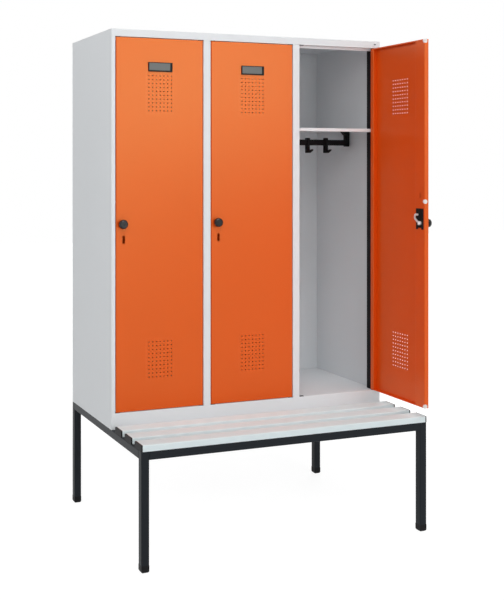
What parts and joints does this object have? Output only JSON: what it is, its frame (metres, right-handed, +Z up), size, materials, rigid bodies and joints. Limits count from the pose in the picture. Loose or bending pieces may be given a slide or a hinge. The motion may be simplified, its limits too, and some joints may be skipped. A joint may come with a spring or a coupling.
{
  "type": "changing room locker with bench",
  "caption": "Steel changing-room locker with hinged doors, hat shelves, coat rails and a slatted bench on a square-tube frame",
  "frame": {"origin": "On the floor below the middle of the whole object's box, with the right-hand door standing open as at rest", "axes": "+X along the front to the right as seen from the front, +Y from the doors towards the wall, +Z up"},
  "size_m": [1.2056, 0.852, 1.958],
  "materials": {
    "light_grey_enamel": "satin powder coat",
    "orange_enamel": "semi-gloss powder coat",
    "black_grey_enamel": "satin powder coat",
    "pale_grey_plastic": "satin",
    "black_plastic": "matt",
    "black_knob_plastic": "satin gloss",
    "zinc_plated_steel": "zinc plated",
    "white_silicone": "matt",
    "grey_card": "matt"
  },
  "bodies": {
    "cabinet_and_bench": {"left_side_panel": "light_grey_enamel", "right_side_panel": "light_grey_enamel", "partition_1": "light_grey_enamel", "partition_2": "light_grey_enamel", "rear_panel": "light_grey_enamel", "roof": "light_grey_enamel", "floor_pan": "light_grey_enamel", "hat_shelf_1": "light_grey_enamel", "hat_shelf_2": "light_grey_enamel", "hat_shelf_3": "light_grey_enamel", "coat_rail_1": "black_plastic", "coat_rail_2": "black_plastic", "coat_rail_3": "black_plastic", "rail_brackets": "black_plastic", "hinge_strips": "black_plastic", "pivot_blocks": "black_plastic", "hinge_pins": "zinc_plated_steel", "legs": "black_grey_enamel", "feet": "black_plastic", "long_rails": "black_grey_enamel", "side_rails": "black_grey_enamel", "frame_bolts": "zinc_plated_steel", "slat_caps": "black_plastic", "bench_slat_1": "pale_grey_plastic", "bench_slat_2": "pale_grey_plastic", "bench_slat_3": "pale_grey_plastic"},
    "door_leaf_1": {"door_1": "orange_enamel", "door_bushes_1": "black_plastic", "door_buffers_1": "white_silicone", "label_holder_1": "black_plastic", "label_card_1": "grey_card", "lock_case_1": "black_plastic"},
    "lock_bolt_1": {"latch_1": "zinc_plated_steel", "knob_1": "black_knob_plastic"},
    "door_leaf_2": {"door_2": "orange_enamel", "door_bushes_2": "black_plastic", "door_buffers_2": "white_silicone", "label_holder_2": "black_plastic", "label_card_2": "grey_card", "lock_case_2": "black_plastic"},
    "lock_bolt_2": {"latch_2": "zinc_plated_steel", "knob_2": "black_knob_plastic"},
    "door_leaf_3": {"door_3": "orange_enamel", "door_bushes_3": "black_plastic", "door_buffers_3": "white_silicone", "label_holder_3": "black_plastic", "label_card_3": "grey_card", "lock_case_3": "black_plastic"},
    "lock_bolt_3": {"latch_3": "zinc_plated_steel", "knob_3": "black_knob_plastic"},
    "hanger_1_1": {"coat_hook_1_1": "black_plastic"},
    "hanger_1_2": {"coat_hook_1_2": "black_plastic"},
    "hanger_1_3": {"coat_hook_1_3": "black_plastic"},
    "hanger_2_1": {"coat_hook_2_1": "black_plastic"},
    "hanger_2_2": {"coat_hook_2_2": "black_plastic"},
    "hanger_2_3": {"coat_hook_2_3": "black_plastic"},
    "hanger_3_1": {"coat_hook_3_1": "black_plastic"},
    "hanger_3_2": {"coat_hook_3_2": "black_plastic"},
    "hanger_3_3": {"coat_hook_3_3": "black_plastic"}
  },
  "joints": [
    {"name": "door_hinge_1", "type": "hinge", "parent": "cabinet_and_bench", "child": "door_leaf_1", "pos_m": [-0.22725, -0.068, 1.211], "axis": [0, 0, 1], "range_deg": [0, 105]},
    {"name": "lock_turn_1", "type": "hinge", "parent": "door_leaf_1", "child": "lock_bolt_1", "pos_m": [-0.55925, -0.074, 1.211], "axis": [0, -1, 0], "range_deg": [0, 90]},
    {"name": "door_hinge_2", "type": "hinge", "parent": "cabinet_and_bench", "child": "door_leaf_2", "pos_m": [0.17275, -0.068, 1.211], "axis": [0, 0, 1], "range_deg": [0, 105]},
    {"name": "lock_turn_2", "type": "hinge", "parent": "door_leaf_2", "child": "lock_bolt_2", "pos_m": [-0.15925, -0.074, 1.211], "axis": [0, -1, 0], "range_deg": [0, 90]},
    {"name": "door_hinge_3", "type": "hinge", "parent": "cabinet_and_bench", "child": "door_leaf_3", "pos_m": [0.57275, -0.068, 1.211], "axis": [0, 0, 1], "range_deg": [-90, 15]},
    {"name": "lock_turn_3", "type": "hinge", "parent": "door_leaf_3", "child": "lock_bolt_3", "pos_m": [0.57875, -0.4, 1.211], "axis": [1, 0, 0], "range_deg": [0, 90]},
    {"name": "hook_slide_1_1", "type": "slide", "parent": "cabinet_and_bench", "child": "hanger_1_1", "axis": [1, 0, 0], "range_m": [-0.06, 0.04]},
    {"name": "hook_slide_1_2", "type": "slide", "parent": "cabinet_and_bench", "child": "hanger_1_2", "axis": [1, 0, 0], "range_m": [-0.04, 0.04]},
    {"name": "hook_slide_1_3", "type": "slide", "parent": "cabinet_and_bench", "child": "hanger_1_3", "axis": [1, 0, 0], "range_m": [-0.04, 0.09]},
    {"name": "hook_slide_2_1", "type": "slide", "parent": "cabinet_and_bench", "child": "hanger_2_1", "axis": [1, 0, 0], "range_m": [-0.06, 0.04]},
    {"name": "hook_slide_2_2", "type": "slide", "parent": "cabinet_and_bench", "child": "hanger_2_2", "axis": [1, 0, 0], "range_m": [-0.04, 0.04]},
    {"name": "hook_slide_2_3", "type": "slide", "parent": "cabinet_and_bench", "child": "hanger_2_3", "axis": [1, 0, 0], "range_m": [-0.04, 0.09]},
    {"name": "hook_slide_3_1", "type": "slide", "parent": "cabinet_and_bench", "child": "hanger_3_1", "axis": [1, 0, 0], "range_m": [-0.06, 0.04]},
    {"name": "hook_slide_3_2", "type": "slide", "parent": "cabinet_and_bench", "child": "hanger_3_2", "axis": [1, 0, 0], "range_m": [-0.04, 0.04]},
    {"name": "hook_slide_3_3", "type": "slide", "parent": "cabinet_and_bench", "child": "hanger_3_3", "axis": [1, 0, 0], "range_m": [-0.04, 0.09]}
  ]
}
